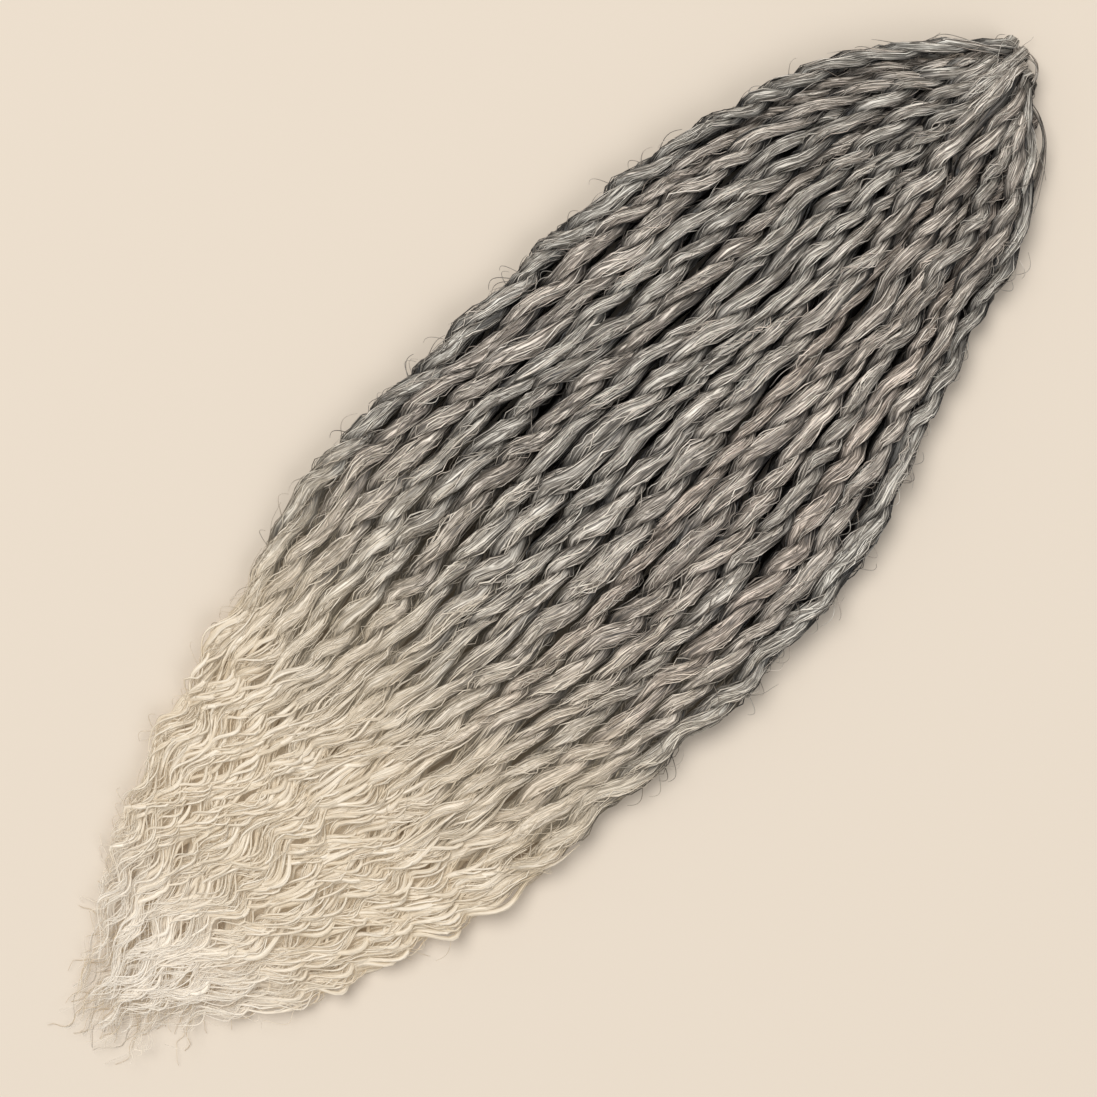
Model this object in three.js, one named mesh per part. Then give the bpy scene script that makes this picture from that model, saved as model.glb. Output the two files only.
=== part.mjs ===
// A bundle of synthetic braiding hair, lying on a table: long two-ply twists, each folded in half over a
// hidden tie thread, so that one leg lies on top and the other underneath. Millimetres, +Z up.
// X runs along the hair, from the curled tips to the folds, and Y across it. The origin is on the table,
// under the middle of the bundle.
import * as THREE from "three";

// The bundle as it lies
const LENGTH = 610; // from the longest tip to the furthest fold
const MID_WIDTH = 217; // across the widest place
const MID_HEIGHT = 24; // both layers, at the crown of the widest place
const EDGE_DROP = 9; // how much lower the outermost strands are there
const STRANDS = 18; // folded strands side by side
const SIDE_GAP = 0.5; // between neighbouring strands
const LAYER_GAP = 0.8; // between a strand's upper and lower leg

// One twisted strand
const LOBE = 26; // from one ply's crossing to the next, half a turn of the twist
const SLIM = 0.62; // thickness of the two plies side by side, as a share of their width
const TOP_WIDTH = 0.6; // top of a lower leg, as a share of its flat underside
const SURFACE_WAVE = 1.2; // how far one upper leg stands above or below the crown line
const SURFACE_WAVELENGTH = 170;

// How the strands wander between head and tips
const WANDER = 3;
const WANDER_WAVELENGTH = 210;
const WANDER_TURN = 0.35; // radians of delay from one strand to the next
const LANE_VARIATION = 0.12; // difference in width between strands, as a share of a strand

// The curled ends
const CURL_PITCH = 22; // from one curl to the next, at the tips
const CURL_DEPTH = 3; // to either side
const CURL_REACH = 250; // how far from the tips the curls fade into the straight twist
const TIP_STAGGER = 34; // between the longest and the shortest leg
const TIP_TAPER = 70; // length over which a leg thins to its tip
const TIP_SHARE = 0.5; // what is left of the section at the tip

// The folds, and the thread through them
const HEAD_SETBACK = 40; // how far the outermost fold lies behind the furthest one
const HEAD_POINT = 1.2; // 1 is a pointed head, 2 a round one
const EYE_LENGTH = 12; // the untwisted end of a leg, behind the bend
const FOLD_STEPS = 4;
const THREAD_DIAMETER = 2;
const THREAD_CLEARANCE = 0.5; // between the thread and the legs above and below it
const THREAD_SETBACK = 5; // from the centre of a bend back to the thread
const THREAD_END = 0.2; // how far inside the outermost strands the thread ends, as a share of a strand
const THREAD_SIDES = 6;

// Outline of the bundle. along is the share of LENGTH from the tips; left (+Y) and right (-Y) are shares of
// half of MID_WIDTH, and height is the share of MID_HEIGHT.
const OUTLINE = [
  { along: 0.0, left: 0.36, right: 0.16, height: 0.32 },
  { along: 0.04, left: 0.46, right: 0.27, height: 0.36 },
  { along: 0.1, left: 0.56, right: 0.45, height: 0.45 },
  { along: 0.16, left: 0.66, right: 0.6, height: 0.55 },
  { along: 0.22, left: 0.78, right: 0.72, height: 0.65 },
  { along: 0.28, left: 0.87, right: 0.83, height: 0.75 },
  { along: 0.37, left: 0.96, right: 0.94, height: 0.88 },
  { along: 0.5, left: 1.0, right: 1.0, height: 1.0 },
  { along: 0.64, left: 0.97, right: 0.97, height: 1.0 },
  { along: 0.73, left: 0.88, right: 0.85, height: 0.98 },
  { along: 0.82, left: 0.71, right: 0.67, height: 0.95 },
  { along: 0.88, left: 0.58, right: 0.55, height: 0.92 },
  { along: 0.93, left: 0.43, right: 0.43, height: 0.89 },
  { along: 1.0, left: 0.24, right: 0.24, height: 0.85 },
];

// Smooth value of one column of OUTLINE at x, a cubic through the rows.
function outline(column, x) {
  const share = THREE.MathUtils.clamp(x / LENGTH, 0, 1);
  const last = OUTLINE.length - 1;
  const row = Math.min(last - 1, OUTLINE.findLastIndex((r) => r.along <= share));
  const slope = (a, b) => (OUTLINE[b][column] - OUTLINE[a][column]) / (OUTLINE[b].along - OUTLINE[a].along);
  const span = OUTLINE[row + 1].along - OUTLINE[row].along;
  const t = (share - OUTLINE[row].along) / span;
  const leave = slope(Math.max(row - 1, 0), row + 1) * span;
  const arrive = slope(row, Math.min(row + 2, last)) * span;
  const from = OUTLINE[row][column];
  const to = OUTLINE[row + 1][column];
  return (
    from * (2 * t ** 3 - 3 * t ** 2 + 1) +
    leave * (t ** 3 - 2 * t ** 2 + t) +
    to * (3 * t ** 2 - 2 * t ** 3) +
    arrive * (t ** 3 - t ** 2)
  );
}

// Sections of all strands lie at the same places along the bundle, a quarter turn of the twist apart. They
// are closer together where the hair curls, two to a curl.
function sectionPlaces() {
  const places = [0];
  while (places.at(-1) < LENGTH) {
    const x = places.at(-1);
    const step = THREE.MathUtils.lerp(CURL_PITCH, LOBE, THREE.MathUtils.smoothstep(x, 0, CURL_REACH)) / 2;
    places.push(x + step);
  }
  return places;
}
const PLACES = sectionPlaces();

// Shift to the side that the curls give an upper leg at x: straight from one section to the next.
function curl(x) {
  const depth = (i) => {
    const side = i % 2 === 0 ? 1 : -1;
    return side * CURL_DEPTH * (1 - THREE.MathUtils.smoothstep(PLACES[i], 0, CURL_REACH));
  };
  const i = Math.min(PLACES.length - 2, PLACES.findLastIndex((place) => place <= x));
  return THREE.MathUtils.mapLinear(x, PLACES[i], PLACES[i + 1], depth(i), depth(i + 1));
}

// Place across the bundle of a boundary between strands, or of anything else at that count of strands from
// the right-hand edge: -1 at the right-hand edge and 1 at the left-hand one.
function across(count) {
  const uneven = Math.sin((count * Math.PI) / STRANDS) * Math.sin(2.4 * count) * LANE_VARIATION;
  return (2 * (count + uneven)) / STRANDS - 1;
}

// Y of that place at x.
function laneY(count, x) {
  const left = (outline("left", x) * MID_WIDTH) / 2;
  const right = (outline("right", x) * MID_WIDTH) / 2;
  const share = across(count);
  const calm = Math.sin((Math.PI * x) / LENGTH);
  const wander = WANDER * calm * Math.sin((2 * Math.PI * x) / WANDER_WAVELENGTH + WANDER_TURN * count);
  return (left - right) / 2 + (share * (left + right)) / 2 + wander;
}

// Half-width and centre of a strand's lane at x.
function lane(strand, x) {
  const right = laneY(strand, x);
  const left = laneY(strand + 1, x);
  return { half: (left - right - SIDE_GAP) / 2, y: (left + right) / 2 };
}

// Height of both layers together: the bundle is thinner towards its sides, more so where it spreads wide.
function totalHeight(count, x) {
  const spread = (outline("left", x) + outline("right", x)) / 2;
  return outline("height", x) * MID_HEIGHT - EDGE_DROP * spread * across(count) ** 2;
}

// X of the centre of a fold's bend. The folds make a blunt arrowhead.
function bendX(count) {
  const end = LENGTH - HEAD_SETBACK * Math.abs(across(count)) ** HEAD_POINT;
  return end - totalHeight(count, end) / 2;
}

// X of a leg's tip: every leg is cut a little differently.
function tipX(strand, layer) {
  return (TIP_STAGGER * (1 - Math.cos(2.4 * strand + 1.7 * layer))) / 2;
}

// How much of the full section a leg has at x, thinning to its tip.
function fullness(x, tip) {
  return TIP_SHARE + (1 - TIP_SHARE) * THREE.MathUtils.smoothstep(x, tip, tip + TIP_TAPER);
}

// Half of the free height between the legs at x: an eye behind the bend, which holds the thread.
function halfGap(x, bend) {
  const eye = THREAD_DIAMETER / 2 + THREAD_CLEARANCE;
  return x >= bend - EYE_LENGTH ? eye : LAYER_GAP / 2;
}

// Places of a leg's sections: its tip, every so many of PLACES, the start of the eye, and the bend.
function legPlaces(tip, bend, every) {
  const eye = bend - EYE_LENGTH;
  const apart = CURL_PITCH / 6;
  const between = PLACES.filter((x, i) => i % every === 0 && x > tip + apart && x < eye - apart);
  return [tip, ...between, eye, bend];
}

// Corners of a section, listed from the one that the twist has brought round after turn quarter turns.
function ring(corners, turn, toPoint) {
  return corners.map((_, k) => toPoint(...corners[(turn + k) % corners.length]));
}

// Closed solid through rings of the same number of points.
function loft(rings) {
  const sides = rings[0].length;
  const triangles = [];
  for (let r = 0; r + 1 < rings.length; r++) {
    for (let k = 0; k < sides; k++) {
      const next = (k + 1) % sides;
      const [a, b, c, d] = [rings[r][k], rings[r][next], rings[r + 1][next], rings[r + 1][k]];
      triangles.push(a, b, d, b, c, d);
    }
  }
  const first = rings[0];
  const last = rings.at(-1);
  for (let k = 1; k + 1 < sides; k++) {
    triangles.push(first[0], first[k + 1], first[k]);
    triangles.push(last[0], last[k], last[k + 1]);
  }
  const geometry = new THREE.BufferGeometry().setFromPoints(triangles);
  geometry.computeVertexNormals();
  return geometry;
}

// Sections of an upper leg, from its tip to the bend: two plies, side by side at one section and one above
// the other at the next.
function upperLeg(strand, bend) {
  const middle = strand + 0.5;
  const tip = tipX(strand, 0);
  return legPlaces(tip, bend, 1).map((x, turn, all) => {
    const thick = fullness(x, tip);
    const { half, y } = lane(strand, x);
    const calm = Math.sin((Math.PI * x) / LENGTH);
    const wave = calm * Math.sin((2 * Math.PI * x) / SURFACE_WAVELENGTH + 1.9 * strand);
    const top = totalHeight(middle, x) + SURFACE_WAVE * wave;
    const bottom = totalHeight(middle, x) / 2 + halfGap(x, bend);
    const sideBySide = (turn + strand) % 2 === 0;
    const untwisted = turn === all.length - 1;
    const u = sideBySide || untwisted ? 1 : SLIM;
    const v = sideBySide && !untwisted ? SLIM : 1;
    const toPoint = (across, up) =>
      new THREE.Vector3(
        x,
        y + curl(x) + across * half * thick,
        (top + bottom) / 2 + (up * thick * (top - bottom)) / 2,
      );
    return ring([[u, 0], [0, v], [-u, 0], [0, -v]], turn, toPoint);
  });
}

// Sections of the bend, over the top and down.
function bendSections(strand, bend, turn) {
  const outer = totalHeight(strand + 0.5, bend) / 2;
  const inner = halfGap(bend, bend);
  const sections = [];
  for (let step = 1; step < FOLD_STEPS; step++) {
    const angle = (Math.PI * step) / FOLD_STEPS;
    const toPoint = (across, out) => {
      const radius = (outer + inner) / 2 + (out * (outer - inner)) / 2;
      const x = bend + radius * Math.sin(angle);
      const { half, y } = lane(strand, x);
      return new THREE.Vector3(x, y + across * half, outer + radius * Math.cos(angle));
    };
    sections.push(ring([[1, 0], [0, 1], [-1, 0], [0, -1]], turn, toPoint));
  }
  return sections;
}

// Sections of a lower leg, from the bend back to its tip, flat where it lies on the table.
function lowerLeg(strand, bend, turn) {
  const tip = tipX(strand, 1);
  const corners = [
    [1, 0],
    [-1, 0],
    [-TOP_WIDTH, 1],
    [TOP_WIDTH, 1],
  ];
  return legPlaces(tip, bend, 2)
    .reverse()
    .map((x) => {
      const thick = fullness(x, tip);
      const { half, y } = lane(strand, x);
      const height = (totalHeight(strand + 0.5, x) / 2 - halfGap(x, bend)) * thick;
      return ring(corners, turn, (across, up) => new THREE.Vector3(x, y + across * half * thick, up * height));
    });
}

function strandGeometry(strand) {
  const bend = bendX(strand + 0.5);
  const upper = upperLeg(strand, bend);
  const turn = upper.length - 1;
  return loft([...upper, ...bendSections(strand, bend, turn), ...lowerLeg(strand, bend, turn)]);
}

// The thread that holds the folds together. The outermost folds hide its ends.
function threadGeometry() {
  const points = 2 * STRANDS;
  const route = Array.from({ length: points + 1 }, (_, i) => {
    const count = THREE.MathUtils.lerp(THREAD_END, STRANDS - THREAD_END, i / points);
    const x = bendX(count) - THREAD_SETBACK;
    return new THREE.Vector3(x, laneY(count, x), totalHeight(count, x) / 2);
  });
  const curve = new THREE.CatmullRomCurve3(route);
  const section = new THREE.Shape();
  section.absarc(0, 0, THREAD_DIAMETER / 2, 0, 2 * Math.PI);
  return new THREE.ExtrudeGeometry(section, {
    extrudePath: curve,
    steps: points,
    curveSegments: THREAD_SIDES,
    bevelEnabled: false,
  });
}

const hair = new THREE.MeshStandardMaterial({ color: 0x978f86, roughness: 0.5, metalness: 0 });
const thread = new THREE.MeshStandardMaterial({ color: 0x2b2826, roughness: 0.8, metalness: 0 });

function piece(name, geometry, material) {
  const mesh = new THREE.Mesh(geometry, material);
  mesh.name = name;
  return mesh;
}

const bundle = new THREE.Group();
for (let strand = 0; strand < STRANDS; strand++) {
  const number = String(strand + 1).padStart(2, "0");
  bundle.add(piece(`folded_strand_${number}`, strandGeometry(strand), hair));
}
bundle.add(piece("tie_thread", threadGeometry(), thread));

// The strands are built with the longest tip near x = 0, and moved so that the origin is under their middle.
const box = new THREE.Box3().setFromObject(bundle);
const centre = box.getCenter(new THREE.Vector3());
bundle.position.set(-centre.x, -centre.y, -box.min.z);

export default bundle;
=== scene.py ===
# %% [markdown]
# # A bundle of braiding hair
# The real object is a handful of long synthetic twists. Each twist is two locks of fibre wound round each
# other, folded in half at the head, and let loose into small curls at the tips. The frame gives the plain
# solid of every folded twist, and this lesson covers each one with fibre.

# %% Load the frame
import math

import bpy
import numpy as np
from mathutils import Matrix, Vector


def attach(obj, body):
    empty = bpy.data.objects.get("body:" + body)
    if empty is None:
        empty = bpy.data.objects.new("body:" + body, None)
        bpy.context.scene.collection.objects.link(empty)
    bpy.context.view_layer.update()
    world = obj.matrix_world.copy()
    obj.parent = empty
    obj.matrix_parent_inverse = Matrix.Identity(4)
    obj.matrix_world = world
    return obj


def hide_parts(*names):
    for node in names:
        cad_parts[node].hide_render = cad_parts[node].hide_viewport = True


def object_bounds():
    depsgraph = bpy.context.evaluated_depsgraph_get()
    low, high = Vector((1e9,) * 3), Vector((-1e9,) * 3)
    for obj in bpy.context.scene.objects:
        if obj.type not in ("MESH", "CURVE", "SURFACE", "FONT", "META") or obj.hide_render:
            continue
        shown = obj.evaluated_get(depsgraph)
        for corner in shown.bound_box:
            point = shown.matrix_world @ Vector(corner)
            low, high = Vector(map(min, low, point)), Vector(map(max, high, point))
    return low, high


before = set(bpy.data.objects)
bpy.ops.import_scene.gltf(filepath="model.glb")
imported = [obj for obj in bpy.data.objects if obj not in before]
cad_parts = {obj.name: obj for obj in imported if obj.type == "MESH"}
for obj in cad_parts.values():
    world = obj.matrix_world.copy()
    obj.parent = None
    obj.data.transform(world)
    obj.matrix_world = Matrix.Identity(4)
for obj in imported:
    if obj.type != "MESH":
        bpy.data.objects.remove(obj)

cad_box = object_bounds()
MM = 0.001
bpy.ops.object.select_all(action="DESELECT")
strand_names = sorted(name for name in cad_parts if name.startswith("folded_strand_"))
print("strands:", len(strand_names))
print("box in mm:", [[round(v / MM, 1) for v in corner] for corner in cad_box])

# %% [markdown]
# ## The camera
# The photograph looks straight down on the bundle, which lies across the picture from the lower left to the
# upper right. A long lens far away keeps the outline free of perspective. The camera is turned about its own
# axis, and the hair stays in line with X.

# %% Set up the camera
TILT_IN_PICTURE = math.radians(47.08)  # of the hair, from the picture's lower edge
PICTURE_WIDTH = 490 * MM  # of the table, from one edge of the picture to the other
OFF_CENTRE = (-1.5 * MM, 2.6 * MM)  # of the picture's middle, from the bundle's
LENS_MM = 85

camera_data = bpy.data.cameras.new("camera")
camera_data.lens = LENS_MM
camera_height = PICTURE_WIDTH * LENS_MM / camera_data.sensor_width
camera = bpy.data.objects.new("camera", camera_data)
camera.location = (*OFF_CENTRE, camera_height)
camera.rotation_euler = (0, 0, -TILT_IN_PICTURE)
bpy.context.collection.objects.link(camera)
bpy.context.scene.camera = camera
print("camera height:", round(camera_height, 3))

# %% [markdown]
# ## Table and light
# The table is one plain warm sheet. The light is a wide soft panel high on the picture's upper left, with a
# weaker one opposite, so that every lobe of a twist has a bright side and a shaded side. Both stand far off,
# which keeps the table evenly lit.


# %% Lay the table and hang the lights
def picture_direction(right, up):
    """World direction of a step in the picture."""
    c, s = math.cos(TILT_IN_PICTURE), math.sin(TILT_IN_PICTURE)
    return Vector((right * c + up * s, -right * s + up * c, 0))


def soft_light(name, right, up, height, size, watts, colour):
    place = picture_direction(right, up) + Vector((0, 0, height))
    data = bpy.data.lights.new(name, "AREA")
    data.shape = "DISK"
    data.size = size
    data.energy = watts
    data.color = colour
    light = bpy.data.objects.new(name, data)
    light.location = place
    light.rotation_euler = (-place).to_track_quat("-Z", "Y").to_euler()
    bpy.context.collection.objects.link(light)
    return light


bpy.ops.mesh.primitive_plane_add(size=4, location=(0, 0, 0))
table = bpy.context.object
table.name = "table"
table_paint = bpy.data.materials.new("table_paint")
table_paint.use_nodes = True
table_shader = table_paint.node_tree.nodes["Principled BSDF"]
table_shader.inputs["Base Color"].default_value = (0.632, 0.556, 0.469, 1)
table_shader.inputs["Roughness"].default_value = 0.9
table_shader.inputs["Specular IOR Level"].default_value = 0.1
table.data.materials.append(table_paint)

soft_light("key", -2.7, 3.3, 8.0, 6.4, 680, (1.0, 0.99, 0.97))
soft_light("fill", 4.5, -2.7, 6.8, 5.9, 200, (0.97, 0.98, 1.0))
world = bpy.data.worlds.new("studio")
world.use_nodes = True
world.node_tree.nodes["Background"].inputs["Color"].default_value = (1.0, 0.99, 0.97, 1)
world.node_tree.nodes["Background"].inputs["Strength"].default_value = 0.47
bpy.context.scene.world = world
bpy.context.scene.view_settings.view_transform = "Standard"

# %% [markdown]
# ## Reading a strand from its solid
# Every solid is a row of four-cornered sections. Sorting its corners by their place along X gives back the
# middle line and the size of each leg. That is better than repeating sizes here, because the fibre then
# follows the frame wherever it goes.


# %% Measure the legs
def section_row(x, ring):
    low, high = ring.min(axis=0), ring.max(axis=0)
    middle, half = (low + high) / 2, (high - low) / 2
    return [x, middle[1], middle[2], half[1], half[2]]


def sections(name):
    """Rows of x, y, z, half width and half height, for the upper and for the lower leg."""
    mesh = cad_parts[name].data
    corners = np.empty(len(mesh.vertices) * 3)
    mesh.vertices.foreach_get("co", corners)
    corners = np.unique(corners.reshape(-1, 3).round(6), axis=0)
    upper, lower = [], []
    for x in np.unique(corners[:, 0]):
        ring = corners[corners[:, 0] == x]
        ring = ring[np.argsort(ring[:, 2])]
        if len(ring) not in (4, 8):
            continue
        if ring[0, 2] < 1e-5:
            lower.append(section_row(x, ring[:4]))
            ring = ring[4:]
        if len(ring) == 4:
            upper.append(section_row(x, ring))
    return np.array(upper), np.array(lower)


def widest_nearby(values):
    """A leg is wide at one section and slim at the next: its full size at each of them."""
    beside = np.convolve(np.pad(values, 1, mode="edge"), [0.5, 0, 0.5], "valid")
    return np.maximum(values, beside)


def without_swing(values):
    """The calm line through values that swing from side to side."""
    return np.convolve(np.pad(values, 1, mode="edge"), [0.25, 0.5, 0.25], "valid")


legs = {name: sections(name) for name in strand_names}
print("sections of the first strand:", [len(leg) for leg in legs[strand_names[0]]])

# %% [markdown]
# ## Where the hair curls
# Towards the tips the hair is set in small curls. The change from twist to curl is slow, over a quarter of
# the length, so it is kept as one number that grows from 0 to 1.

# %% Grade twist to curl
TIPS_X = cad_box[0][0]
HEAD_X = cad_box[1][0]
CURL_FROM = 240 * MM  # from the tips, where the curls begin to show
CURL_FULL = 95 * MM  # from the tips, where nothing but curls is left


def smoothstep(low, high, value):
    t = np.clip((value - low) / (high - low), 0, 1)
    return t * t * (3 - 2 * t)


def curliness(x):
    return 1 - smoothstep(TIPS_X + CURL_FULL, TIPS_X + CURL_FROM, x)


print("curls begin at x in mm:", round((TIPS_X + CURL_FROM) / MM))

# %% [markdown]
# ## The middle line of a folded strand
# A strand is followed from the tip of its upper leg, over the fold, and back along its lower leg. At each
# place it has a direction to the side and one outwards, and the fibre is laid out in these two. Steps are
# shorter where the hair curls.
#
# At the head the lanes get narrow and the strands lie half on top of each other, every second one higher
# than its neighbours. The outer folds lean over towards the point of the head, and the two outermost twists
# run on along its edges. One middle strand is untwisted there and lies over the rest as a flat bunch. Loose
# fibre stands out from the strands, so the fan is drawn in a little, and more so at the tips.

# %% Follow a strand
STRAIGHT_STEP = 5.6 * MM
HEAD_STEP = 4.4 * MM
CURL_STEP = 2.6 * MM
HIDDEN_STEP = 14 * MM  # under the bundle
FOLD_STEPS = 11
LOBE = 26 * MM  # half a turn of the twist
HEAD_LOBE = 20 * MM  # half a turn where the lanes are narrow
CURL_LOBE = 13 * MM  # half a turn of a curl
HEAD_HALF_WIDTH = 5.2 * MM
HEAD_STACK = 2.8 * MM
LEAN_LEFT = 11 * MM  # of the outermost folds, towards the point of the head
LEAN_RIGHT = 5 * MM
LEAN_ALONG = 7 * MM
RUN_ON = 27 * MM  # of the two outermost twists, along the edge of the head and in to its point
BUNCH = 7  # number of the strand that is untwisted at the head
BUNCH_HALF_WIDTH = 6.3 * MM
TIP_MIDDLE = 5 * MM  # where the strands draw together, to the left of the middle
NARROWER = 0.05  # share by which the fan is drawn in, twice as much towards the tips
PLY_BROAD = 0.82  # half size of a ply across, in the strand's half width
HEAD_PLY_BROAD = 0.66


def waves(rng, count, length, wavelength):
    """Smooth random numbers between about -1 and 1, a row for each of count lines along length."""
    total = 0
    for share, ratio in ((0.6, 1.0), (0.4, 0.47)):
        phase = rng.uniform(0, 2 * np.pi, (count, 1))
        stretch = rng.uniform(0.8, 1.25, (count, 1))
        total = total + share * np.sin(2 * np.pi * length * stretch / (wavelength * ratio) + phase)
    return total


def steps_along(start, end, straight_step=STRAIGHT_STEP, head_step=HEAD_STEP):
    """Places from start to end: close together where the hair curls."""
    x = [start]
    while x[-1] < end:
        curled = smoothstep(0.0, 0.4, curliness(x[-1]))
        narrow = smoothstep(HEAD_X - 190 * MM, HEAD_X - 130 * MM, x[-1])
        calm_step = straight_step + (head_step - straight_step) * narrow
        x.append(x[-1] + calm_step + (CURL_STEP - calm_step) * curled)
    x = np.array(x[:-1])
    return start + (x - start) * (end - start) / (x[-1] - start)


class Strand:
    """Middle line, directions and sizes of one folded strand, all as arrays along it."""

    def __init__(self, number, name):
        self.number = number
        self.rng = np.random.default_rng(100 + number)
        upper, lower = legs[name]
        bend = upper[-1, 0]
        up_x = steps_along(upper[0, 0], bend)
        at_edge = number in (0, 1, len(strand_names) - 2, len(strand_names) - 1)
        hidden = () if at_edge else (HIDDEN_STEP, HEAD_STEP)
        down_x = steps_along(lower[0, 0], bend, *hidden)[::-1]
        angle = np.linspace(0, math.pi, FOLD_STEPS)[1:-1]
        top, bottom = upper[-1, 2], lower[-1, 2]
        reach = (top - bottom) / 2
        self.fold_start = len(up_x) - 1
        self.fold_end = len(up_x) + len(angle)

        def both_legs(column, calm):
            over, under = calm(upper[:, column]), lower[:, column]
            return np.concatenate(
                [
                    np.interp(up_x, upper[:, 0], over),
                    np.interp(angle, [0, math.pi], [over[-1], under[-1]]),
                    np.interp(down_x, lower[:, 0], under),
                ]
            )

        flat_x = np.concatenate([up_x, np.full(len(angle), bend), down_x])
        self.layer = np.concatenate([np.ones(len(up_x)), np.cos(angle), -np.ones(len(down_x))])
        x = flat_x + reach * np.sqrt(1 - self.layer**2)
        y = both_legs(1, without_swing)
        z = both_legs(2, without_swing)
        z[self.fold_start + 1 : self.fold_end] = (top + bottom) / 2 + reach * np.cos(angle)
        self.half_width = both_legs(3, widest_nearby)
        self.half_height = both_legs(4, widest_nearby)
        walked = np.hypot(np.hypot(np.diff(x), np.diff(y)), np.diff(z))
        self.length = np.concatenate([[0], np.cumsum(walked)])

        rng = self.rng
        self.lane = 2 * number / (len(strand_names) - 1) - 1
        self.curl = curliness(flat_x)
        at_head = smoothstep(HEAD_X - 190 * MM, HEAD_X - 80 * MM, flat_x)
        at_fold = smoothstep(bend - 55 * MM, bend, flat_x)
        at_tips = 1 - smoothstep(TIPS_X + 10 * MM, TIPS_X + 90 * MM, flat_x)
        in_bunch = at_fold if number == BUNCH else 0 * at_fold
        on_top = (self.layer + 1) / 2
        head_half_width = HEAD_HALF_WIDTH + (BUNCH_HALF_WIDTH - HEAD_HALF_WIDTH) * in_bunch
        wider = at_head * np.maximum(head_half_width - self.half_width, 0)
        self.half_width = self.half_width * (1.0 + 0.16 * waves(rng, 1, self.length, 80 * MM)[0]) + wider
        self.half_height = self.half_height * (1 - 0.12 * at_head)
        lean = LEAN_LEFT if self.lane > 0 else LEAN_RIGHT
        y -= self.lane * (wider * (1 - in_bunch) + lean * at_fold)
        run_on = RUN_ON * self.lane**8
        y -= math.copysign(run_on, self.lane) * at_fold**4
        y -= 0.42 * (y - TIP_MIDDLE) * at_tips
        squeeze = NARROWER * (1 - at_head) * (2 - smoothstep(-200 * MM, -20 * MM, flat_x))
        y -= squeeze * y + 1.5 * MM * (1 - at_head)
        y += 1.4 * MM * waves(rng, 1, self.length, 120 * MM)[0]
        y += 0.9 * MM * (1 + self.lane**6) * waves(rng, 1, self.length, 48 * MM)[0]
        y += 1.8 * MM * waves(rng, 1, self.length, 75 * MM)[0] * self.curl
        z += 1.2 * MM * waves(rng, 1, self.length, 150 * MM)[0] * on_top
        z += HEAD_STACK * (1 if number % 2 else -1) * at_head * on_top + 2.5 * MM * in_bunch * on_top
        z += (7 * MM * self.lane**8 - 4 * MM * self.lane**2) * at_fold * on_top
        along = run_on * (1.0 if self.lane > 0 else 0.8)
        x += (rng.uniform(-3, 3) * MM + LEAN_ALONG * self.lane**2 + along) * at_fold
        self.middle = np.stack([x, y, z])

        self.fold_at = (self.length[self.fold_start] + self.length[self.fold_end]) / 2
        loose_for = (34 if number == BUNCH else 14 - 6 * self.lane**8) * MM
        untwisted = np.exp(-(((self.length - self.fold_at) / loose_for) ** 2))
        lobe = (LOBE + (HEAD_LOBE - LOBE) * at_head) * rng.uniform(0.88, 1.16)
        rate = math.pi / lobe * (1 - 0.9 * untwisted)
        rate = rate + (math.pi / CURL_LOBE - rate) * smoothstep(0.1, 0.75, self.curl)
        drawn_out = np.linalg.norm(np.diff(self.middle, axis=1), axis=0)
        steps = np.concatenate([[0], np.cumsum((rate[1:] + rate[:-1]) / 2 * drawn_out)])
        self.turn = steps + math.pi / 2 * number + 1.1 * waves(rng, 1, self.length, 130 * MM)[0]
        if number == BUNCH:
            self.turn += math.pi / 2 - self.at(self.fold_at, self.turn)
        self.broad = PLY_BROAD + (HEAD_PLY_BROAD - PLY_BROAD) * (at_head - in_bunch)
        self.drift = 0.6 * waves(rng, 1, self.length, 120 * MM)[0]  # of all its curls together
        self.over = int(rng.integers(0, 2))  # the ply that lies over the other where the hair curls
        self.short_of_tips = (8 + 30 * self.lane**2) * MM  # how much sooner the outer strands thin out

    def at(self, where, values):
        """Values read at any places along the strand."""
        return np.interp(where, self.length, values)


strands = [Strand(i, name) for i, name in enumerate(strand_names)]
print("length of a folded strand in mm:", [round(s.length[-1] / MM) for s in strands[::6]])

# %% [markdown]
# ## Tubes of fibre
# All the hair is made of closed tubes: fat ones for the body of a ply, thin ones for its locks of fibre and
# hair-thin ones for the strays. There are thousands, so they are built as arrays and joined into one mesh
# for each strand. A tube carries its own map, in metres along and around it, and three values for its
# colour: how light the lock is, how warm it is, and how open to the light it lies, which sets its painted
# shade.


# %% Build tubes
def unit(v):
    return v / np.maximum(np.linalg.norm(v, axis=-1, keepdims=True), 1e-12)


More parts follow.
